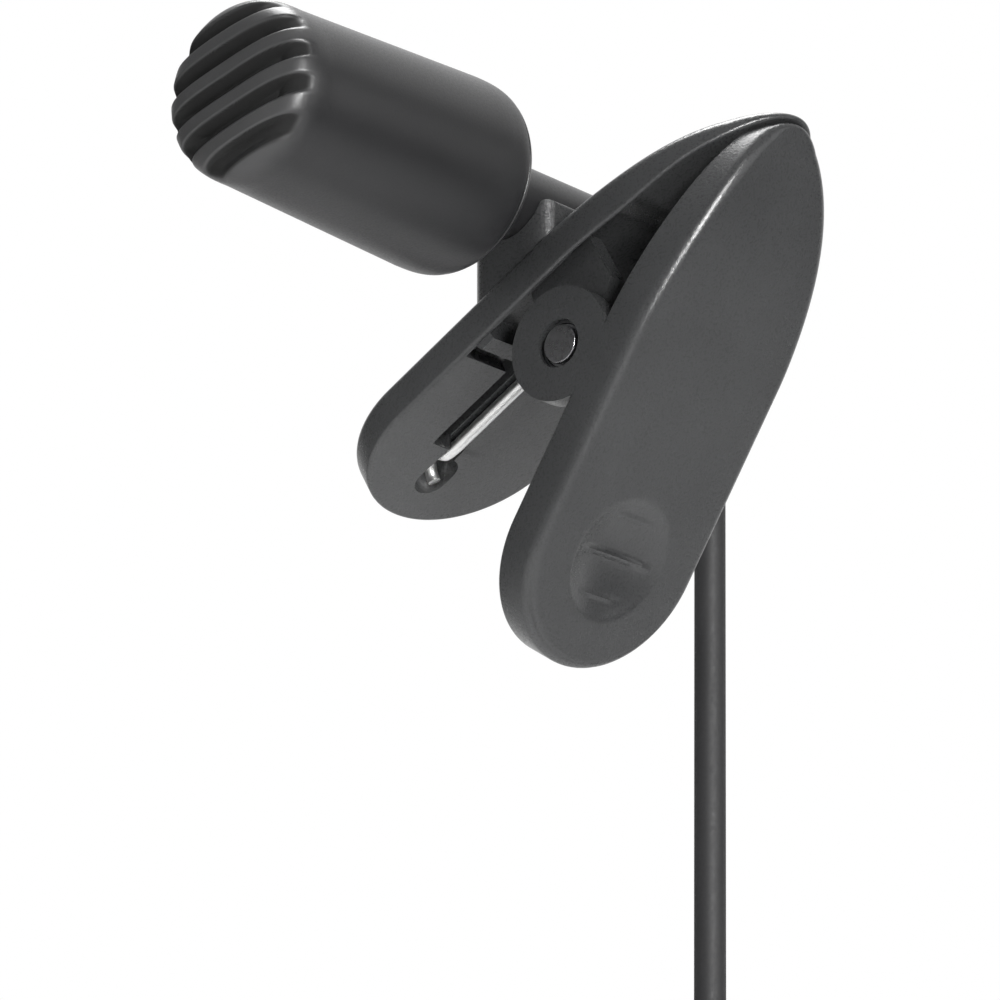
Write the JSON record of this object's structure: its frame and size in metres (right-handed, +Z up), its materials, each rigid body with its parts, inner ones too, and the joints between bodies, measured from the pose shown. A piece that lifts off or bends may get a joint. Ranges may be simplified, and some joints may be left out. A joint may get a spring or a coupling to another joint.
{
  "type": "lavalier microphone",
  "caption": "Small clip-on microphone: grooved round head in a spring clip with two tapered leaves, thin cord folded into a hank, ending in a jack plug.",
  "frame": {"origin": "the point where the two closed jaws meet, in the middle of their width", "axes": "+Y along the hinge pin and the microphone head's axis, from the head to the cord's exit; +Z up, with the cord hanging down; +X from the handles towards the jaw side"},
  "size_m": [0.0341, 0.0502, 0.1605],
  "materials": {
    "clip": "fine matt moulded texture",
    "housing": "satin, fine grain",
    "pin": "dark turned steel",
    "spring": "bright drawn wire",
    "cloth": "fine woven mesh",
    "felt": "felt",
    "can": "drawn and satin",
    "board": "solder mask",
    "sleeve": "matt",
    "leads": "insulated wire",
    "crimp": "plain",
    "cord": "satin jacket",
    "tie": "woven strap",
    "grip": "satin",
    "contact": "polished",
    "insulator": "gloss"
  },
  "bodies": {
    "back_clip": {"back_leaf": "clip", "hinge_pin": "pin", "clip_spring": "spring", "cord_drop": "cord", "cord_hank": "cord", "cord_tail": "cord", "hank_tie": "tie", "plug_boot": "sleeve", "plug_grip": "grip", "plug_sleeve": "contact", "plug_ring": "contact", "plug_tip": "contact", "ring_insulator": "insulator", "tip_insulator": "insulator"},
    "front_clip": {"front_leaf": "clip"},
    "mic_head": {"mic_housing": "housing", "dust_cloth": "cloth", "insert_felt": "felt", "insert_can": "can", "insert_board": "board", "insert_sleeve": "sleeve", "lead_wires": "leads", "rear_cap": "housing", "cord_crimp": "crimp", "cord_in_neck": "cord", "strain_relief": "sleeve"}
  },
  "joints": [
    {"name": "clip_hinge", "type": "hinge", "parent": "back_clip", "child": "front_clip", "pos_m": [-0.01266, 0, -0.01334], "axis": [0, 1, 0], "range_deg": [0, 32], "stiffness_Nm_per_rad": 0.02, "springref_deg": -40.11, "deforming": ["clip_spring"]},
    {"name": "head_turn", "type": "hinge", "parent": "back_clip", "child": "mic_head", "pos_m": [-0.01721, 0, -0.00267], "axis": [0, 1, 0], "range_deg": [-90, 90]}
  ]
}
